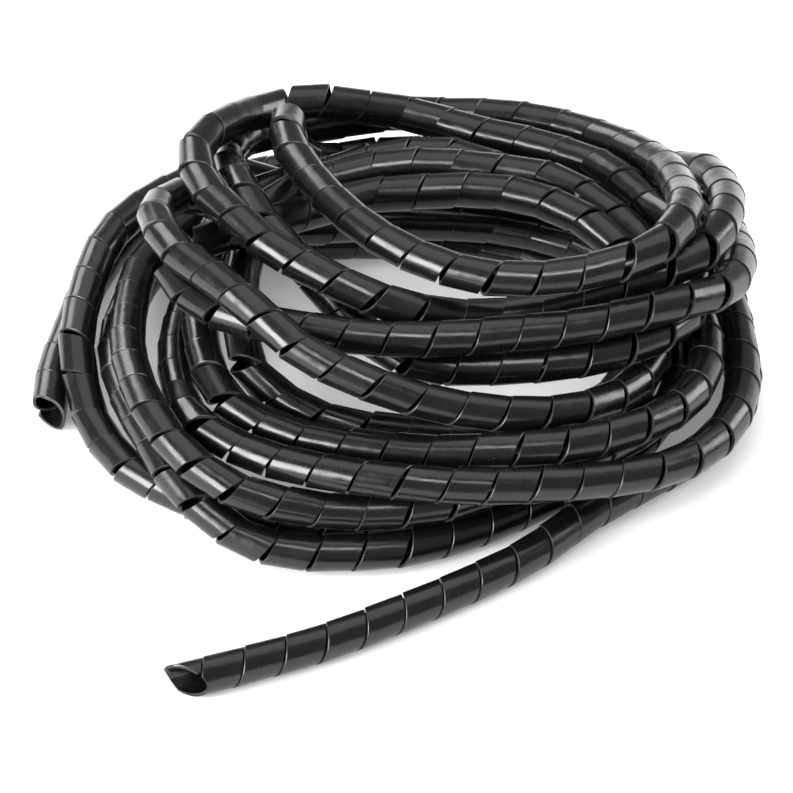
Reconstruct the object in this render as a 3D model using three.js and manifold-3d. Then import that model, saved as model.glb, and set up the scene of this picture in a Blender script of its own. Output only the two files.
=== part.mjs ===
// Spiral cable wrap: one long black plastic tube, slit along a helix, lying in a loose heap of turns on a floor.
// Millimetres, +Z up. The origin is on the floor, under the middle of the heap.
import * as THREE from 'three';
import { mergeVertices } from 'three/addons/utils/BufferGeometryUtils.js';
import Module from 'manifold-3d';

// Driving dimensions
const OUTER_DIAMETER = 12;
const WALL = 1.1;
const SLIT_PITCH = 14.2;
const SLIT_WIDTH = 1;
const STRAND_GAP = 1;
const SLIT_TURNS = 5;

// Fineness of the model
const OUTER_SIDES = 10;
const BORE_SIDES = 8;
const NODE_STEP = 6;
const SPAN_SAMPLES = 16;
const LONGEST_STEP = 25;
const SHARPEST_TURN = THREE.MathUtils.degToRad(18);
const SLIT_SIDES = 12;
const CUT_MARGIN = 1;

// How the strands settle on each other
const SETTLE_ROUNDS = 120;
const FINE_ROUNDS = 12;
const SPREAD = 6;
const SAME_STRETCH = 2 * OUTER_DIAMETER;
const NEIGHBOURS = Math.round(SAME_STRETCH / NODE_STEP);
const REACH = 3 * OUTER_DIAMETER;
const SHARE = 0.6;

// The strand's centreline as it lies, from the open end at the front to the open end at the left.
// Each list runs once round the heap, counter-clockwise from above.
const ROUTE = [
  [
    [-68, -148, 6], [-50, -141, 6], [-24, -130, 6], [-1, -117, 6], [23, -102, 6], [43, -87, 6],
    [61, -68, 6], [80, -52, 6], [97, -38, 6], [109, -21, 6], [114, 0, 6], [112, 25, 6],
    [109, 44, 6], [101, 61, 6], [87, 75, 6], [67, 86, 6], [43, 95, 6], [16, 100, 6], [-11, 100, 6],
    [-37, 98, 8], [-59, 100, 14], [-74, 88, 17], [-86, 74, 20], [-97, 54, 22], [-103, 28, 21],
    [-105, 5, 18], [-103, -7, 13], [-100, -19, 8], [-94, -32, 6], [-85, -46, 6], [-73, -55, 6],
  ],
  [
    [-60, -64, 6], [-41, -70, 6], [-18, -72, 6], [8, -66, 6], [34, -55, 6], [55, -41, 6],
    [72, -24, 6], [82, -4, 6], [85, 15, 6], [82, 33, 6], [73, 48, 6], [58, 60, 6], [37, 69, 6],
    [14, 73, 6], [-8, 74, 6], [-30, 73, 6], [-51, 70, 6], [-67, 65, 6], [-81, 59, 8],
    [-88, 41, 11], [-93, 22, 13], [-94, 1, 15], [-91, -14, 16], [-87, -28, 17], [-81, -43, 18],
    [-75, -58, 18],
  ],
  [
    [-67, -70, 17], [-59, -76, 13], [-47, -83, 9], [-31, -87, 8], [-15, -87, 8], [1, -85, 8],
    [21, -76, 7], [39, -65, 7], [58, -50, 7], [75, -33, 7], [89, -8, 6], [97, 6, 6], [98, 30, 6],
    [93, 47, 6], [83, 61, 6], [65, 73, 6], [41, 82, 6], [15, 87, 6], [-9, 87, 6], [-31, 86, 10],
    [-52, 81, 15], [-70, 60, 18], [-83, 37, 22], [-87, 8, 26], [-87, -15, 29], [-83, -36, 31],
    [-78, -50, 31],
  ],
  [
    [-69, -65, 29], [-57, -75, 26], [-44, -79, 23], [-31, -80, 21], [-15, -80, 19], [1, -80, 20],
    [17, -77, 21], [37, -67, 21], [56, -58, 21], [78, -42, 20], [93, -22, 19], [97, 1, 19],
    [97, 25, 19], [95, 46, 18], [84, 62, 17], [66, 73, 17], [41, 80, 17], [15, 81, 18],
    [-9, 82, 18], [-34, 77, 18], [-57, 67, 18], [-66, 46, 18], [-71, 19, 20], [-72, -2, 22],
    [-69, -24, 25],
  ],
  [
    [-63, -47, 31], [-51, -58, 30], [-37, -67, 30], [-18, -75, 31], [1, -80, 32], [17, -81, 31],
    [35, -80, 30], [53, -76, 28], [66, -71, 25], [82, -65, 23], [95, -56, 21], [106, -42, 20],
    [112, -24, 19], [113, -5, 19], [111, 16, 19], [107, 37, 19], [100, 50, 19], [91, 62, 20],
    [77, 68, 24], [61, 66, 27], [46, 72, 31], [34, 75, 37], [28, 78, 38], [21, 82, 38],
    [15, 84, 38], [1, 84, 38], [-12, 82, 37], [-25, 77, 36], [-39, 74, 34], [-53, 65, 33],
    [-62, 44, 31], [-65, 19, 30], [-64, -8, 31],
  ],
  [
    [-60, -31, 33], [-53, -43, 31], [-43, -49, 29], [-30, -56, 29], [-15, -61, 30], [1, -65, 31],
    [17, -67, 32], [35, -68, 34], [53, -66, 34], [68, -60, 33], [82, -52, 32], [93, -40, 30],
    [100, -24, 28], [102, -6, 27], [99, 14, 27], [94, 28, 30], [88, 35, 35], [77, 44, 40],
    [66, 52, 43], [55, 59, 45], [41, 62, 46], [28, 64, 46], [15, 67, 45], [1, 67, 45],
    [-12, 65, 44], [-26, 61, 43], [-37, 55, 43], [-46, 48, 42], [-51, 33, 40], [-53, 7, 40],
    [-52, -15, 39],
  ],
  [
    [-49, -27, 35], [-41, -32, 30], [-30, -39, 27], [-15, -44, 25], [1, -43, 22], [17, -43, 20],
    [35, -42, 20], [54, -38, 20], [70, -26, 19], [80, -12, 19], [86, 8, 18], [87, 29, 18],
    [82, 45, 19], [71, 56, 20], [56, 63, 20], [38, 69, 20], [18, 69, 21], [1, 65, 24],
    [-16, 58, 28], [-32, 53, 30], [-47, 49, 34], [-61, 51, 39], [-71, 47, 46],
  ],
  [
    [-79, 30, 54], [-78, 13, 60], [-71, -4, 63], [-61, -16, 64], [-51, -28, 64], [-40, -40, 62],
    [-30, -48, 58], [-15, -55, 54], [0, -59, 50], [14, -59, 45], [30, -58, 41], [47, -54, 37],
    [63, -45, 33], [76, -30, 29], [84, -9, 27], [85, 7, 31], [80, 20, 36], [72, 28, 41],
    [62, 37, 45], [51, 43, 47], [40, 49, 47], [26, 52, 47], [13, 53, 46], [-1, 53, 45],
    [-12, 54, 43], [-24, 48, 44], [-35, 40, 46], [-49, 32, 48], [-62, 25, 49], [-73, 17, 49],
    [-75, 5, 49], [-68, -6, 49],
  ],
  [
    [-59, -17, 51], [-46, -24, 52], [-31, -29, 53], [-15, -33, 53], [1, -35, 53], [17, -35, 53],
    [34, -32, 52], [53, -29, 51], [68, -25, 51], [83, -19, 51], [96, -10, 48], [104, -1, 45],
    [109, 20, 39], [108, 43, 32], [101, 64, 27], [86, 74, 24], [68, 92, 20], [50, 101, 18],
    [30, 106, 18], [10, 107, 18], [-8, 105, 19], [-22, 98, 22], [-31, 89, 30], [-37, 82, 42],
  ],
  [
    [-38, 75, 57], [-37, 56, 62], [-32, 43, 63], [-26, 30, 64], [-17, 15, 65], [-6, 2, 65],
    [7, -9, 65], [21, -17, 65], [35, -21, 65], [52, -21, 65], [68, -18, 66], [81, -14, 68],
    [89, -3, 66], [94, 16, 61], [92, 42, 50], [85, 68, 40], [72, 88, 34], [55, 102, 31],
    [42, 107, 31], [29, 111, 30], [15, 112, 30], [1, 115, 29], [-16, 112, 29], [-31, 108, 29],
    [-43, 100, 33], [-50, 91, 38], [-54, 80, 43],
  ],
  [
    [-56, 66, 48], [-55, 51, 53], [-51, 35, 56], [-44, 16, 57], [-34, 4, 54], [-23, -8, 49],
    [-12, -21, 44], [1, -31, 41], [14, -34, 39], [34, -34, 39], [53, -33, 40], [73, -28, 40],
    [86, -20, 39], [96, -9, 37], [100, 4, 37], [100, 17, 39], [97, 28, 40], [90, 43, 36],
    [81, 55, 34], [68, 71, 32], [55, 81, 31], [42, 87, 31], [28, 92, 31], [15, 98, 31],
    [1, 101, 33], [-10, 98, 37], [-21, 95, 41],
  ],
  [
    [-31, 91, 44], [-38, 89, 43], [-45, 82, 46], [-52, 72, 51], [-58, 61, 57], [-63, 52, 60],
    [-66, 42, 62], [-65, 33, 63], [-61, 20, 64], [-52, 6, 66], [-41, -7, 65], [-27, -16, 63],
    [-13, -23, 60], [2, -26, 56], [17, -23, 50], [34, -18, 46], [50, -15, 47], [67, -12, 51],
    [83, -9, 55], [97, -1, 56], [104, 13, 54], [107, 35, 46], [104, 55, 37], [97, 70, 29],
    [85, 82, 20], [74, 94, 11], [58, 104, 7], [39, 111, 6], [13, 113, 6], [-13, 113, 6],
    [-38, 110, 6], [-60, 103, 6], [-79, 91, 6], [-94, 71, 6], [-104, 46, 6], [-109, 25, 6],
    [-113, 6, 6], [-114, -12, 6],
  ],
];

const UP = new THREE.Vector3(0, 0, 1);
const outerRadius = OUTER_DIAMETER / 2;
const boreRadius = outerRadius - WALL;

// The centreline's nodes, evenly spaced along a smooth curve through the route's points
function spacedNodes() {
  const points = ROUTE.flat().map((point) => new THREE.Vector3(...point));
  const curve = new THREE.CatmullRomCurve3(points, false, 'catmullrom', 0.5);
  curve.arcLengthDivisions = points.length * SPAN_SAMPLES;
  return curve.getSpacedPoints(Math.round(curve.getLength() / NODE_STEP));
}

// Pairs of nodes of different turns that can come to touch
function nearPairs(nodes) {
  const pairs = [];
  nodes.forEach((node, i) => {
    for (let j = i + NEIGHBOURS + 1; j < nodes.length; j += 1) {
      if (node.distanceTo(nodes[j]) < REACH) pairs.push([i, j]);
    }
  });
  return pairs;
}

// Shares each node's move with the nodes beside it on the strand, so that the strand bends gently
function smoothMoves(moves) {
  const before = moves.map((move) => move.clone());
  for (let i = 1; i < moves.length - 1; i += 1) {
    moves[i].addVectors(before[i - 1], before[i + 1]).multiplyScalar(0.25).addScaledVector(before[i], 0.5);
  }
}

// Lays the turns on the floor and on each other: strands nearer than one diameter and a gap are pushed apart
function settle(nodes) {
  const need = OUTER_DIAMETER + STRAND_GAP;
  const pairs = nearPairs(nodes);
  const moves = nodes.map(() => new THREE.Vector3());
  let places = nodes.map((node) => node.clone());
  const apart = new THREE.Vector3();
  for (let round = 0; round < SETTLE_ROUNDS; round += 1) {
    const pushes = nodes.map(() => new THREE.Vector3());
    const touches = nodes.map(() => 0);
    for (const [i, j] of pairs) {
      apart.subVectors(places[i], places[j]);
      const distance = apart.length();
      if (distance < need) {
        apart.multiplyScalar((need - distance) / distance / 2);
        pushes[i].add(apart);
        pushes[j].sub(apart);
        touches[i] += 1;
        touches[j] += 1;
      }
    }
    moves.forEach((move, i) => move.addScaledVector(pushes[i], 1 / Math.max(1, SHARE * touches[i])));
    const passes = round < SETTLE_ROUNDS - FINE_ROUNDS ? SPREAD : 1;
    for (let pass = 0; pass < passes; pass += 1) smoothMoves(moves);
    places = nodes.map((node, i) => {
      moves[i].z = Math.max(moves[i].z, outerRadius - node.z);
      return node.clone().add(moves[i]);
    });
  }
  return places;
}

// The nodes at which the tube gets a section: closer together where the strand bends
function chooseStations(nodes) {
  const heading = (i) => nodes[i + 1].clone().sub(nodes[i]).normalize();
  const stations = [nodes[0]];
  let last = 0;
  for (let i = 1; i < nodes.length - 1; i += 1) {
    const turned = heading(i).angleTo(heading(last));
    const run = nodes[i + 1].distanceTo(nodes[last]);
    if (turned > SHARPEST_TURN || run > LONGEST_STEP) {
      stations.push(nodes[i]);
      last = i;
    }
  }
  stations.push(nodes[nodes.length - 1]);
  return stations;
}

// A path through stations in straight steps, whose sections stay upright: x to the left, y up
class Strand extends THREE.Curve {
  constructor(stations) {
    super();
    this.stations = stations;
  }

  getPoint(t, target = new THREE.Vector3()) {
    const steps = this.stations.length - 1;
    const first = Math.min(Math.floor(t * steps), steps - 1);
    return target.lerpVectors(this.stations[first], this.stations[first + 1], t * steps - first);
  }

  getPointAt(u, target) {
    return this.getPoint(u, target);
  }

  headingOf(i) {
    const before = this.stations[Math.max(i - 1, 0)];
    const after = this.stations[Math.min(i + 1, this.stations.length - 1)];
    return after.clone().sub(before).normalize();
  }

  computeFrenetFrames(steps) {
    const tangents = [];
    const normals = [];
    const binormals = [];
    for (let i = 0; i <= steps; i += 1) {
      const tangent = this.headingOf(i);
      const left = UP.clone().cross(tangent).normalize();
      tangents.push(tangent);
      normals.push(left);
      binormals.push(tangent.clone().cross(left));
    }
    return { tangents, normals, binormals };
  }
}

// The slit's path: a left-handed helix round the strand's first stretch, whose sections stand radially
class Slit extends THREE.Curve {
  constructor(stations, turns) {
    super();
    this.stations = stations;
    this.turns = turns;
  }

  frameAt(t) {
    let along = (t * (this.turns + 1) - 1) * SLIT_PITCH;
    let i = 0;
    while (i < this.stations.length - 2 && along > this.stations[i].distanceTo(this.stations[i + 1])) {
      along -= this.stations[i].distanceTo(this.stations[i + 1]);
      i += 1;
    }
    const tangent = this.stations[i + 1].clone().sub(this.stations[i]).normalize();
    const left = UP.clone().cross(tangent).normalize();
    const up = tangent.clone().cross(left);
    const angle = -2 * Math.PI * t * (this.turns + 1);
    const outward = left.multiplyScalar(Math.cos(angle)).addScaledVector(up, Math.sin(angle));
    return { centre: this.stations[i].clone().addScaledVector(tangent, along), tangent, outward };
  }

  getPoint(t, target = new THREE.Vector3()) {
    const { centre, outward } = this.frameAt(t);
    return target.copy(centre).addScaledVector(outward, (outerRadius + boreRadius) / 2);
  }

  getPointAt(u, target) {
    return this.getPoint(u, target);
  }

  computeFrenetFrames(steps) {
    const tangents = [];
    const normals = [];
    const binormals = [];
    for (let i = 0; i <= steps; i += 1) {
      const { tangent, outward } = this.frameAt(i / steps);
      normals.push(outward);
      binormals.push(tangent);
      tangents.push(outward.clone().cross(tangent));
    }
    return { tangents, normals, binormals };
  }
}

// The tube's section: a ring with a flat of its outer outline facing down
function ringShape() {
  const outline = (radius, sides, start) => Array.from({ length: sides }, (_, i) => {
    const angle = start + (2 * Math.PI * i) / sides;
    return new THREE.Vector2(radius * Math.cos(angle), radius * Math.sin(angle));
  });
  const ring = new THREE.Shape(outline(outerRadius, OUTER_SIDES, 0));
  ring.holes.push(new THREE.Path(outline(boreRadius, BORE_SIDES, Math.PI / BORE_SIDES)));
  return ring;
}

// The slit's section: radial by axial, deep enough to pass through the wall
function slitShape() {
  const deep = WALL / 2 + CUT_MARGIN;
  const wide = SLIT_WIDTH / 2;
  return new THREE.Shape([
    new THREE.Vector2(-deep, -wide),
    new THREE.Vector2(deep, -wide),
    new THREE.Vector2(deep, wide),
    new THREE.Vector2(-deep, wide),
  ]);
}

const wasm = await Module();
wasm.setup();

function toSolid(geometry) {
  geometry.deleteAttribute('normal');
  geometry.deleteAttribute('uv');
  const merged = mergeVertices(geometry);
  const vertProperties = new Float32Array(merged.attributes.position.array);
  const triVerts = new Uint32Array(merged.index.array);
  return new wasm.Manifold(new wasm.Mesh({ numProp: 3, vertProperties, triVerts }));
}

function toGeometry(solid) {
  const mesh = solid.getMesh();
  const geometry = new THREE.BufferGeometry();
  geometry.setAttribute('position', new THREE.BufferAttribute(mesh.vertProperties, 3));
  geometry.setIndex(new THREE.BufferAttribute(mesh.triVerts, 1));
  return geometry;
}

// The whole wrap: a hollow tube along the settled strand, with the slit cut from its front end
function wrapGeometry() {
  const stations = chooseStations(settle(spacedNodes()));
  const tube = new THREE.ExtrudeGeometry(ringShape(), {
    steps: stations.length - 1,
    extrudePath: new Strand(stations),
  });
  const slit = new THREE.ExtrudeGeometry(slitShape(), {
    steps: (SLIT_TURNS + 1) * SLIT_SIDES,
    extrudePath: new Slit(stations, SLIT_TURNS),
  });
  return toGeometry(toSolid(tube).subtract(toSolid(slit)));
}

const geometry = wrapGeometry();
geometry.computeBoundingBox();
const box = geometry.boundingBox;
geometry.translate(-(box.min.x + box.max.x) / 2, -(box.min.y + box.max.y) / 2, -box.min.z);

const blackPolyethylene = new THREE.MeshStandardMaterial({ color: 0x1c1c1e, roughness: 0.35, metalness: 0 });
const wrap = new THREE.Mesh(geometry, blackPolyethylene);
wrap.name = 'spiral_wrap';

const object = new THREE.Group();
object.add(wrap);

export default object;
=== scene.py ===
"""Spiral cable wrap: one long black plastic strip wound into a tube, lying in a loose heap of turns.

The strand's centreline is a list of given points, settled so that the turns lie on the floor and on
each other. The wrap is then one strip, carried along a left-handed helix round that centreline. Everything is
in metres.
"""
import bpy
import numpy as np
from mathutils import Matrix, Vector


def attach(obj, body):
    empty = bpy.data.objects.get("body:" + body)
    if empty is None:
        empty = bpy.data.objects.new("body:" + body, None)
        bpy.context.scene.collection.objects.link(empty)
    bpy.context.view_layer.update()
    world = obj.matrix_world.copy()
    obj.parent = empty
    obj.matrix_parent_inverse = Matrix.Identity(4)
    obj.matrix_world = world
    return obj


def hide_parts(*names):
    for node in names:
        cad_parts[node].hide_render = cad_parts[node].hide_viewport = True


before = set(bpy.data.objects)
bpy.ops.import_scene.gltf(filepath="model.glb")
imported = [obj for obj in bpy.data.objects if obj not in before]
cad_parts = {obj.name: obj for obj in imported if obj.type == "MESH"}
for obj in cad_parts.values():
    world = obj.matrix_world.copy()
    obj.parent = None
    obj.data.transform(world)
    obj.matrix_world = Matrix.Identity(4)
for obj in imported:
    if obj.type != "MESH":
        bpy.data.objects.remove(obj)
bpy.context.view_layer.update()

MM = 0.001

# The wrap's sizes
OUTER_DIAMETER = 12 * MM
WALL = 1.1 * MM
SLIT_PITCH = 14.2 * MM
SLIT_AT_REST = 0.45 * MM
STRAND_GAP = 1 * MM

# The centreline's points and how the strands settle, as in the part
NODE_STEP = 6 * MM
SAMPLES_A_SPAN = 16
SETTLE_ROUNDS = 120
FINE_ROUNDS = 12
SPREAD = 6
SAME_STRETCH = 2 * OUTER_DIAMETER
NEIGHBOURS = round(SAME_STRETCH / NODE_STEP)
REACH = 3 * OUTER_DIAMETER
SHARE = 0.6
ROUTE = [
    [
      [-68, -148, 6], [-50, -141, 6], [-24, -130, 6], [-1, -117, 6], [23, -102, 6], [43, -87, 6],
      [61, -68, 6], [80, -52, 6], [97, -38, 6], [109, -21, 6], [114, 0, 6], [112, 25, 6],
      [109, 44, 6], [101, 61, 6], [87, 75, 6], [67, 86, 6], [43, 95, 6], [16, 100, 6], [-11, 100, 6],
      [-37, 98, 8], [-59, 100, 14], [-74, 88, 17], [-86, 74, 20], [-97, 54, 22], [-103, 28, 21],
      [-105, 5, 18], [-103, -7, 13], [-100, -19, 8], [-94, -32, 6], [-85, -46, 6], [-73, -55, 6],
    ],
    [
      [-60, -64, 6], [-41, -70, 6], [-18, -72, 6], [8, -66, 6], [34, -55, 6], [55, -41, 6],
      [72, -24, 6], [82, -4, 6], [85, 15, 6], [82, 33, 6], [73, 48, 6], [58, 60, 6], [37, 69, 6],
      [14, 73, 6], [-8, 74, 6], [-30, 73, 6], [-51, 70, 6], [-67, 65, 6], [-81, 59, 8],
      [-88, 41, 11], [-93, 22, 13], [-94, 1, 15], [-91, -14, 16], [-87, -28, 17], [-81, -43, 18],
      [-75, -58, 18],
    ],
    [
      [-67, -70, 17], [-59, -76, 13], [-47, -83, 9], [-31, -87, 8], [-15, -87, 8], [1, -85, 8],
      [21, -76, 7], [39, -65, 7], [58, -50, 7], [75, -33, 7], [89, -8, 6], [97, 6, 6], [98, 30, 6],
      [93, 47, 6], [83, 61, 6], [65, 73, 6], [41, 82, 6], [15, 87, 6], [-9, 87, 6], [-31, 86, 10],
      [-52, 81, 15], [-70, 60, 18], [-83, 37, 22], [-87, 8, 26], [-87, -15, 29], [-83, -36, 31],
      [-78, -50, 31],
    ],
    [
      [-69, -65, 29], [-57, -75, 26], [-44, -79, 23], [-31, -80, 21], [-15, -80, 19], [1, -80, 20],
      [17, -77, 21], [37, -67, 21], [56, -58, 21], [78, -42, 20], [93, -22, 19], [97, 1, 19],
      [97, 25, 19], [95, 46, 18], [84, 62, 17], [66, 73, 17], [41, 80, 17], [15, 81, 18],
      [-9, 82, 18], [-34, 77, 18], [-57, 67, 18], [-66, 46, 18], [-71, 19, 20], [-72, -2, 22],
      [-69, -24, 25],
    ],
    [
      [-63, -47, 31], [-51, -58, 30], [-37, -67, 30], [-18, -75, 31], [1, -80, 32], [17, -81, 31],
      [35, -80, 30], [53, -76, 28], [66, -71, 25], [82, -65, 23], [95, -56, 21], [106, -42, 20],
      [112, -24, 19], [113, -5, 19], [111, 16, 19], [107, 37, 19], [100, 50, 19], [91, 62, 20],
      [77, 68, 24], [61, 66, 27], [46, 72, 31], [34, 75, 37], [28, 78, 38], [21, 82, 38],
      [15, 84, 38], [1, 84, 38], [-12, 82, 37], [-25, 77, 36], [-39, 74, 34], [-53, 65, 33],
      [-62, 44, 31], [-65, 19, 30], [-64, -8, 31],
    ],
    [
      [-60, -31, 33], [-53, -43, 31], [-43, -49, 29], [-30, -56, 29], [-15, -61, 30], [1, -65, 31],
      [17, -67, 32], [35, -68, 34], [53, -66, 34], [68, -60, 33], [82, -52, 32], [93, -40, 30],
      [100, -24, 28], [102, -6, 27], [99, 14, 27], [94, 28, 30], [88, 35, 35], [77, 44, 40],
      [66, 52, 43], [55, 59, 45], [41, 62, 46], [28, 64, 46], [15, 67, 45], [1, 67, 45],
      [-12, 65, 44], [-26, 61, 43], [-37, 55, 43], [-46, 48, 42], [-51, 33, 40], [-53, 7, 40],
      [-52, -15, 39],
    ],
    [
      [-49, -27, 35], [-41, -32, 30], [-30, -39, 27], [-15, -44, 25], [1, -43, 22], [17, -43, 20],
      [35, -42, 20], [54, -38, 20], [70, -26, 19], [80, -12, 19], [86, 8, 18], [87, 29, 18],
      [82, 45, 19], [71, 56, 20], [56, 63, 20], [38, 69, 20], [18, 69, 21], [1, 65, 24],
      [-16, 58, 28], [-32, 53, 30], [-47, 49, 34], [-61, 51, 39], [-71, 47, 46],
    ],
    [
      [-79, 30, 54], [-78, 13, 60], [-71, -4, 63], [-61, -16, 64], [-51, -28, 64], [-40, -40, 62],
      [-30, -48, 58], [-15, -55, 54], [0, -59, 50], [14, -59, 45], [30, -58, 41], [47, -54, 37],
      [63, -45, 33], [76, -30, 29], [84, -9, 27], [85, 7, 31], [80, 20, 36], [72, 28, 41],
      [62, 37, 45], [51, 43, 47], [40, 49, 47], [26, 52, 47], [13, 53, 46], [-1, 53, 45],
      [-12, 54, 43], [-24, 48, 44], [-35, 40, 46], [-49, 32, 48], [-62, 25, 49], [-73, 17, 49],
      [-75, 5, 49], [-68, -6, 49],
    ],
    [
      [-59, -17, 51], [-46, -24, 52], [-31, -29, 53], [-15, -33, 53], [1, -35, 53], [17, -35, 53],
      [34, -32, 52], [53, -29, 51], [68, -25, 51], [83, -19, 51], [96, -10, 48], [104, -1, 45],
      [109, 20, 39], [108, 43, 32], [101, 64, 27], [86, 74, 24], [68, 92, 20], [50, 101, 18],
      [30, 106, 18], [10, 107, 18], [-8, 105, 19], [-22, 98, 22], [-31, 89, 30], [-37, 82, 42],
    ],
    [
      [-38, 75, 57], [-37, 56, 62], [-32, 43, 63], [-26, 30, 64], [-17, 15, 65], [-6, 2, 65],
      [7, -9, 65], [21, -17, 65], [35, -21, 65], [52, -21, 65], [68, -18, 66], [81, -14, 68],
      [89, -3, 66], [94, 16, 61], [92, 42, 50], [85, 68, 40], [72, 88, 34], [55, 102, 31],
      [42, 107, 31], [29, 111, 30], [15, 112, 30], [1, 115, 29], [-16, 112, 29], [-31, 108, 29],
      [-43, 100, 33], [-50, 91, 38], [-54, 80, 43],
    ],
    [
      [-56, 66, 48], [-55, 51, 53], [-51, 35, 56], [-44, 16, 57], [-34, 4, 54], [-23, -8, 49],
      [-12, -21, 44], [1, -31, 41], [14, -34, 39], [34, -34, 39], [53, -33, 40], [73, -28, 40],
      [86, -20, 39], [96, -9, 37], [100, 4, 37], [100, 17, 39], [97, 28, 40], [90, 43, 36],
      [81, 55, 34], [68, 71, 32], [55, 81, 31], [42, 87, 31], [28, 92, 31], [15, 98, 31],
      [1, 101, 33], [-10, 98, 37], [-21, 95, 41],
    ],
    [
      [-31, 91, 44], [-38, 89, 43], [-45, 82, 46], [-52, 72, 51], [-58, 61, 57], [-63, 52, 60],
      [-66, 42, 62], [-65, 33, 63], [-61, 20, 64], [-52, 6, 66], [-41, -7, 65], [-27, -16, 63],
      [-13, -23, 60], [2, -26, 56], [17, -23, 50], [34, -18, 46], [50, -15, 47], [67, -12, 51],
      [83, -9, 55], [97, -1, 56], [104, 13, 54], [107, 35, 46], [104, 55, 37], [97, 70, 29],
      [85, 82, 20], [74, 94, 11], [58, 104, 7], [39, 111, 6], [13, 113, 6], [-13, 113, 6],
      [-38, 110, 6], [-60, 103, 6], [-79, 91, 6], [-94, 71, 6], [-104, 46, 6], [-109, 25, 6],
      [-113, 6, 6], [-114, -12, 6],
    ],
]

# The strip, and how its bands lie on the centreline. LIFT_WAVES are radians a turn.
STRIP_WIDTH = SLIT_PITCH - SLIT_AT_REST
STEPS_A_TURN = 24
PATH_STEP = 2 * MM
EASE = 8
BEND_EASE = 12
BEND_SHARE = 0.4
CLOSED_GAP = 0.12 * MM
EDGE_BEVEL = 0.18 * MM
BAND_STEP = 0.3 * MM
EDGE_LIFT = 0.1 * MM
LIFT_WAVES = (2.4, 0.37)
TIP_WIDTH = 1 * MM
START_ANGLE = np.radians(200)
SHARP_EDGE = np.radians(38)

# The oblique cut at each end: how far its tip stands past the part's end, and its heel behind the tip
FRONT_TIP = 4.6 * MM
LEFT_TIP = 9 * MM
CUT_LEAN = 11 * MM

# The photograph's view
ELEVATION = np.radians(40)
DISTANCE = 2.5
PIXELS_ACROSS = 793
PIXEL = 0.333 * MM
WIDTH_IN_VIEW = PIXELS_ACROSS * PIXEL
SENSOR = 0.036

# The plastic's colours and gloss, and the share that dust and the edge rim add to each: the rim's pale colour is
# a painted highlight
BLACK = (0.0045, 0.0045, 0.005, 1)
PALE_DUST_AND_HIGHLIGHT = (0.16, 0.16, 0.16, 1)
REFRACTION = 1.52
ROUGHNESS = (0.17, 0.27)
DUST_SHARE, DUST_ROUGHNESS = 0.12, 0.3
# The rim's share of the pale colour is a painted highlight along the strip's cut edges; its added roughness is
# real
RIM_HIGHLIGHT_SHARE, RIM_ROUGHNESS = 0.16, 0.15

# Each noise's scale and detail. A scale is in cells a metre, and that of the lines in cells a radian of the tube.
LINE_NOISE = (16, 3)
WAVE_NOISE = (90, 2)
CLOUD_NOISE = (160, 3)
DUST_NOISE = (2600, 1)

# Where the clouds, the dust and the rim begin and end, and each bump's strength and depth
CLOUD_RANGE = (0.35, 0.65)
DUST_RANGE = (0.70, 0.76)
RIM_RANGE = (0.485, 0.498)
LINE_DRIFT = 0.02
LINE_BUMP = (0.5, 0.05 * MM)
WAVE_BUMP = (0.6, 0.4 * MM)

# The floor, the room's light, and the soft boxes: name, place, aim, size, watts and spread in degrees
FLOOR_HALF = 6
FLOOR_GLOW = 0.2
ROOM_LIGHT = 0.32
SOFT_BOXES = (
    ("overhead", (0, 0.5, 1.5), (0, 0, 0), (2.4, 1.4), 12, 180),
    ("left", (-1.2, -0.8, 0.55), (0, 0, 0.05), (1.1, 0.8), 52, 180),
    ("right", (1.4, 0.5, 0.6), (0, 0, 0.05), (0.9, 0.8), 16, 180),
    ("behind", (-1.0, 1.3, 0.9), (0, 0, 0.05), (1.0, 0.8), 14, 180),
    ("top", (0.02, -0.3, 0.95), (0, 0.28, 0.05), (0.7, 0.5), 0.7, 34),
)


def unit(rows):
    """Each row divided by its length."""
    return rows / np.linalg.norm(rows, axis=1, keepdims=True)


def length_along(line):
    """How far along the line each of its points is."""
    return np.concatenate([[0], np.cumsum(np.linalg.norm(np.diff(line, axis=0), axis=1))])


def smooth_line(points, step):
    """A uniform Catmull-Rom spline through the points, resampled so that neighbours are one step apart."""
    padded = np.vstack([2 * points[0] - points[1], points, 2 * points[-1] - points[-2]])
    a, b, c, d = (padded[k:len(points) - 1 + k, None] for k in range(4))
    t = (np.arange(SAMPLES_A_SPAN) / SAMPLES_A_SPAN)[None, :, None]
    spans = 2 * b + (c - a) * t + (2 * a - 5 * b + 4 * c - d) * t**2 + (3 * b - a - 3 * c + d) * t**3
    dense = np.vstack([spans.reshape(-1, 3) / 2, points[-1]])
    along = length_along(dense)
    at = np.linspace(0, along[-1], round(along[-1] / step) + 1)
    return np.stack([np.interp(at, along, dense[:, axis]) for axis in range(3)], axis=1)


def spread_out(rows):
    """Each inner row becomes a quarter of both its neighbours and half of itself."""
    rows[1:-1] = 0.25 * rows[:-2] + 0.5 * rows[1:-1] + 0.25 * rows[2:]


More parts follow.
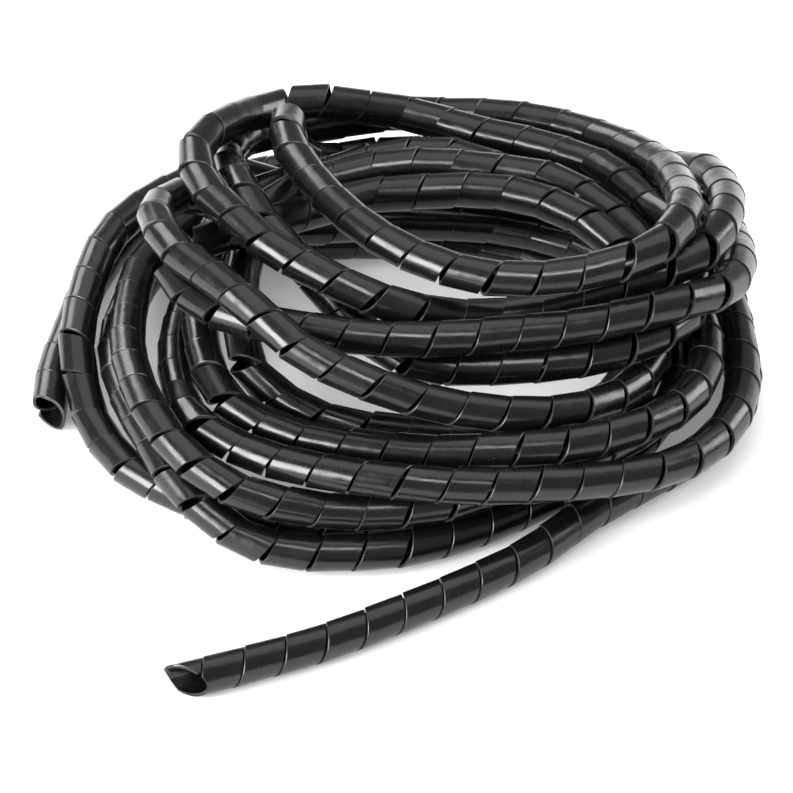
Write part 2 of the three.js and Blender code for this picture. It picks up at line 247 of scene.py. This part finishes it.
def settle(nodes):
    """Nodes of different turns nearer than a diameter and a gap are pushed apart, each by half of what is
    missing. The moves are shared along the strand, and no node sinks below a strand's radius over the floor."""
    need = OUTER_DIAMETER + STRAND_GAP
    first, second = np.triu_indices(len(nodes), NEIGHBOURS + 1)
    near = np.linalg.norm(nodes[first] - nodes[second], axis=1) < REACH
    first, second = first[near], second[near]
    moves = np.zeros_like(nodes)
    for round_number in range(SETTLE_ROUNDS):
        places = nodes + moves
        apart = places[first] - places[second]
        distance = np.linalg.norm(apart, axis=1)
        short = distance < need
        push = apart[short] * ((need - distance[short]) / distance[short] / 2)[:, None]
        pushes, touches = np.zeros_like(nodes), np.zeros(len(nodes))
        np.add.at(pushes, first[short], push)
        np.add.at(pushes, second[short], -push)
        np.add.at(touches, first[short], 1)
        np.add.at(touches, second[short], 1)
        moves += pushes / np.maximum(1, SHARE * touches)[:, None]
        for _ in range(SPREAD if round_number < SETTLE_ROUNDS - FINE_ROUNDS else 1):
            spread_out(moves)
        moves[:, 2] = np.maximum(moves[:, 2], OUTER_DIAMETER / 2 - nodes[:, 2])
    return nodes + moves


def strand_line():
    """The settled centreline, with the middle of its box over the origin, and that shift. It is eased a little,
    and it runs on straight past the part's two ends, to the tips of the oblique cuts."""
    points = MM * np.array([point for turn in ROUTE for point in turn], float)
    nodes = settle(smooth_line(points, NODE_STEP))
    shift = -(nodes.min(axis=0) + nodes.max(axis=0)) / 2
    shift[2] = 0
    line = smooth_line(nodes + shift, PATH_STEP)
    for _ in range(EASE):
        spread_out(line)
    line[:, 2] = np.maximum(line[:, 2], OUTER_DIAMETER / 2 + (BAND_STEP + EDGE_LIFT) / 2)
    front, left = unit(line[:1] - line[1:2]), unit(line[-1:] - line[-2:-1])
    return np.vstack([line[:1] + front * FRONT_TIP, line, line[-1:] + left * LEFT_TIP]), shift


def set_camera(shift):
    """A long lens at the photograph's angle, aimed at the middle of the heap."""
    camera = bpy.data.cameras.new("camera")
    camera.sensor_width = SENSOR * 1000
    camera.lens = camera.sensor_width * DISTANCE / WIDTH_IN_VIEW
    camera.clip_end = 20
    holder = bpy.data.objects.new("camera", camera)
    back = Vector((0, -np.cos(ELEVATION), np.sin(ELEVATION)))
    holder.location = Vector(shift) + back * DISTANCE
    holder.rotation_euler = back.to_track_quat("Z", "Y").to_euler()
    bpy.context.collection.objects.link(holder)
    bpy.context.scene.camera = holder


def slit_pitch_along(heading, arc):
    """The pitch at each point of the line. Where a bend would close the slit on its inside, the pitch grows by
    a share of what is missing, so the outside gapes. The bands take up the rest by lapping on the inside."""
    bend = np.linalg.norm(np.gradient(heading, arc, axis=0), axis=1)
    for _ in range(BEND_EASE):
        spread_out(bend)
    inside = 1 - BEND_SHARE * OUTER_DIAMETER / 2 * bend
    return np.maximum(SLIT_PITCH, (STRIP_WIDTH + CLOSED_GAP) / inside)


def cut_rows(turns, turned, arc):
    """The strip's rows that are left between the two oblique cuts: each row's turn, the place on the line that
    it stands at, its centre along the line, its angle, and where it starts and stops along the line. Each cut
    leans to the strand's left: it is further back from its tip by half the lean, times one less the cosine."""
    inside = np.clip(turns, 0, turned[-1])
    base = np.interp(inside, turned, arc)
    centre = base + (turns - inside) * SLIT_PITCH
    angle = START_ANGLE - 2 * np.pi * turns
    heel = CUT_LEAN * (1 - np.cos(angle)) / 2
    low = np.maximum(centre - STRIP_WIDTH / 2, heel)
    high = np.minimum(centre + STRIP_WIDTH / 2, arc[-1] - heel)
    narrow, middle = np.flatnonzero(high - low < TIP_WIDTH), len(turns) // 2
    kept = slice(narrow[narrow < middle][-1] + 1, narrow[narrow > middle][0])
    rows = turns, base, centre[:, None], angle[:, None], low[:, None], high[:, None]
    return (values[kept] for values in rows)


def strip_points(line):
    """The strip's points, one row of section points a step, with each row's turn and each point's place across.
    A row's points stand along the strand's heading there, so each turn is a short straight sleeve, and at the
    tube's two ends the strip narrows to a tip along the helix. Across the strip the radius falls by the band
    step, a little more or less in two slow waves, so each band's front edge stands proud."""
    heading = unit(np.gradient(line, axis=0))
    left = unit(np.cross([0, 0, 1], heading))
    up = np.cross(heading, left)
    arc = length_along(line)
    pitch = slit_pitch_along(heading, arc)
    turned = np.concatenate([[0], np.cumsum(np.diff(arc) * 2 / (pitch[1:] + pitch[:-1]))])
    every_turn = np.arange(-1, turned[-1] + 1, 1 / STEPS_A_TURN)
    turns, base, centre, angle, low, high = cut_rows(every_turn, turned, arc)

    outer, inner = OUTER_DIAMETER / 2, OUTER_DIAMETER / 2 - WALL
    reach = np.hstack([low, low, low + EDGE_BEVEL, (2 * low + high) / 3, (low + 2 * high) / 3,
                       high - EDGE_BEVEL, high, high])
    radius = np.array([inner, outer - EDGE_BEVEL, outer, outer, outer, outer, outer - EDGE_BEVEL, inner])
    across = (reach - centre) / STRIP_WIDTH
    tilt = EDGE_LIFT * np.sin(LIFT_WAVES[0] * turns) * np.sin(LIFT_WAVES[1] * turns + 1) - BAND_STEP
    radius = radius + across * tilt[:, None]

    def carry(rows):
        """The rows' values at each of the strip's places on the line."""
        return np.stack([np.interp(base, arc, rows[:, axis]) for axis in range(3)], axis=1)

    place, ahead, side, top = carry(line), unit(carry(heading)), unit(carry(left)), unit(carry(up))
    out = np.cos(angle)[..., None] * side[:, None] + np.sin(angle)[..., None] * top[:, None]
    points = place[:, None] + ahead[:, None] * (reach - base[:, None])[..., None] + radius[..., None] * out
    return points, turns, across


def strip_mesh(line):
    """The strip as one closed mesh, with its turn and its place across the strip as a UV map."""
    points, turns, across = strip_points(line)
    count, sides = points.shape[:2]
    ring = np.arange(sides)
    after = (ring + 1) % sides
    row = np.arange(count - 1)[:, None] * sides
    quads = np.stack([row + ring, row + after, row + sides + after, row + sides + ring], axis=-1)
    first_cap = list(range(sides))[::-1]
    last_cap = [(count - 1) * sides + k for k in range(sides)]
    mesh = bpy.data.meshes.new("spiral_strip")
    mesh.from_pydata(points.reshape(-1, 3), [], quads.reshape(-1, 4).tolist() + [first_cap, last_cap])
    layer = mesh.uv_layers.new(name="strip")
    corner = np.empty(len(mesh.loops), np.int32)
    mesh.loops.foreach_get("vertex_index", corner)
    places = np.stack([np.repeat(turns, sides), across.ravel() + 0.5], axis=1)
    layer.uv.foreach_set("vector", places[corner].astype(np.float32).ravel())
    mesh.validate()
    mesh.shade_smooth()
    mesh.set_sharp_from_angle(angle=SHARP_EDGE)
    return mesh


def wrap_plastic():
    """Black polyethylene with a wet gloss. Fine extrusion lines run along the tube, from one band of the strip
    to the next, the gloss is a little cloudy, the strip's cut edges are rougher and carry a painted highlight in
    their colour, and a little dust lies on it."""
    material = bpy.data.materials.new("wrap_plastic")
    material.use_nodes = True
    tree = material.node_tree
    shader = tree.nodes["Principled BSDF"]
    shader.inputs["IOR"].default_value = REFRACTION

    def math(operation, first, second=None):
        node = tree.nodes.new("ShaderNodeMath")
        node.operation = operation
        for place, value in enumerate((first, second)):
            if isinstance(value, bpy.types.NodeSocket):
                tree.links.new(value, node.inputs[place])
            elif value is not None:
                node.inputs[place].default_value = value
        return node.outputs[0]

    def stretch(value, low, high, to_low, to_high):
        node = tree.nodes.new("ShaderNodeMapRange")
        tree.links.new(value, node.inputs["Value"])
        ends = {"From Min": low, "From Max": high, "To Min": to_low, "To Max": to_high}
        for name, number in ends.items():
            node.inputs[name].default_value = number
        return node.outputs[0]

    def noise(place, scale, detail):
        node = tree.nodes.new("ShaderNodeTexNoise")
        tree.links.new(place, node.inputs["Vector"])
        node.inputs["Scale"].default_value = scale
        node.inputs["Detail"].default_value = detail
        return node.outputs["Fac"]

    def bump(height, strength, depth, normal=None):
        node = tree.nodes.new("ShaderNodeBump")
        node.inputs["Strength"].default_value = strength
        node.inputs["Distance"].default_value = depth
        tree.links.new(height, node.inputs["Height"])
        if normal:
            tree.links.new(normal, node.inputs["Normal"])
        return node.outputs[0]

    strip = tree.nodes.new("ShaderNodeUVMap")
    strip.uv_map = "strip"
    split = tree.nodes.new("ShaderNodeSeparateXYZ")
    tree.links.new(strip.outputs["UV"], split.inputs[0])
    turn, across = split.outputs["X"], split.outputs["Y"]
    angle = math("MULTIPLY", turn, 2 * np.pi)
    circle = tree.nodes.new("ShaderNodeCombineXYZ")
    tree.links.new(math("COSINE", angle), circle.inputs["X"])
    tree.links.new(math("SINE", angle), circle.inputs["Y"])
    tree.links.new(math("MULTIPLY", turn, LINE_DRIFT), circle.inputs["Z"])
    place = tree.nodes.new("ShaderNodeTexCoord").outputs["Object"]

    dust = stretch(noise(place, *DUST_NOISE), *DUST_RANGE, 0, 1)
    # A mask along both edges of the strip: it adds roughness, and its pale colour is a painted highlight
    rim = stretch(math("ABSOLUTE", math("SUBTRACT", across, 0.5)), *RIM_RANGE, 0, 1)
    lines = bump(noise(circle.outputs[0], *LINE_NOISE), *LINE_BUMP)
    waves = bump(noise(place, *WAVE_NOISE), *WAVE_BUMP, normal=lines)
    tree.links.new(waves, shader.inputs["Normal"])

    gloss = stretch(noise(place, *CLOUD_NOISE), *CLOUD_RANGE, *ROUGHNESS)
    gloss = math("ADD", gloss, math("MULTIPLY", dust, DUST_ROUGHNESS))
    gloss = math("ADD", gloss, math("MULTIPLY", rim, RIM_ROUGHNESS))
    tree.links.new(gloss, shader.inputs["Roughness"])

    shade = tree.nodes.new("ShaderNodeMix")
    shade.data_type = "RGBA"
    black, pale = [socket for socket in shade.inputs if socket.type == "RGBA"]
    black.default_value = BLACK
    pale.default_value = PALE_DUST_AND_HIGHLIGHT
    # Pale colour from dust, plus a painted highlight along the strip's edges
    share = math("ADD", math("MULTIPLY", dust, DUST_SHARE), math("MULTIPLY", rim, RIM_HIGHLIGHT_SHARE))
    tree.links.new(share, shade.inputs[0])
    colour = next(socket for socket in shade.outputs if socket.type == "RGBA")
    tree.links.new(colour, shader.inputs["Base Color"])
    return material


def make_wrap(line):
    """The wrap as one piece, attached to the root body, with the part's own wrap hidden."""
    mesh = strip_mesh(line)
    mesh.materials.append(wrap_plastic())
    wrap = bpy.data.objects.new("spiral_strip", mesh)
    bpy.context.collection.objects.link(wrap)
    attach(wrap, "root")
    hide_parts("spiral_wrap")


def make_floor():
    """A large white floor, lit a little from below, as a light table is."""
    mesh = bpy.data.meshes.new("floor")
    half = FLOOR_HALF
    corners = [(-half, -half, 0), (half, -half, 0), (half, half, 0), (-half, half, 0)]
    mesh.from_pydata(corners, [], [(0, 1, 2, 3)])
    material = bpy.data.materials.new("floor")
    material.use_nodes = True
    shader = material.node_tree.nodes["Principled BSDF"]
    shader.inputs["Base Color"].default_value = (0.9, 0.9, 0.9, 1)
    shader.inputs["Roughness"].default_value = 0.9
    shader.inputs["Emission Color"].default_value = (1, 1, 1, 1)
    shader.inputs["Emission Strength"].default_value = FLOOR_GLOW
    mesh.materials.append(material)
    floor = bpy.data.objects.new("floor", mesh)
    bpy.context.collection.objects.link(floor)


def area_light(name, place, target, size, watts, spread):
    """A rectangular soft light at a place, facing a target, with its spread in degrees."""
    light = bpy.data.lights.new(name, "AREA")
    light.shape = "RECTANGLE"
    light.size, light.size_y = size
    light.energy = watts
    light.spread = np.radians(spread)
    holder = bpy.data.objects.new(name, light)
    holder.location = place
    holder.rotation_euler = (Vector(place) - Vector(target)).to_track_quat("Z", "Y").to_euler()
    bpy.context.collection.objects.link(holder)


def make_lights():
    """A dim room with soft boxes: a faint wide one overhead, one each at the left, right and rear, and one with
    a grid above that reaches the rear strands alone."""
    world = bpy.data.worlds.new("studio")
    bpy.context.scene.world = world
    world.use_nodes = True
    background = world.node_tree.nodes["Background"]
    background.inputs["Color"].default_value = (1, 1, 1, 1)
    background.inputs["Strength"].default_value = ROOM_LIGHT
    for soft_box in SOFT_BOXES:
        area_light(*soft_box)
    bpy.context.scene.view_settings.view_transform = "Standard"


line, shift = strand_line()
set_camera(shift)
make_wrap(line)
make_floor()
make_lights()
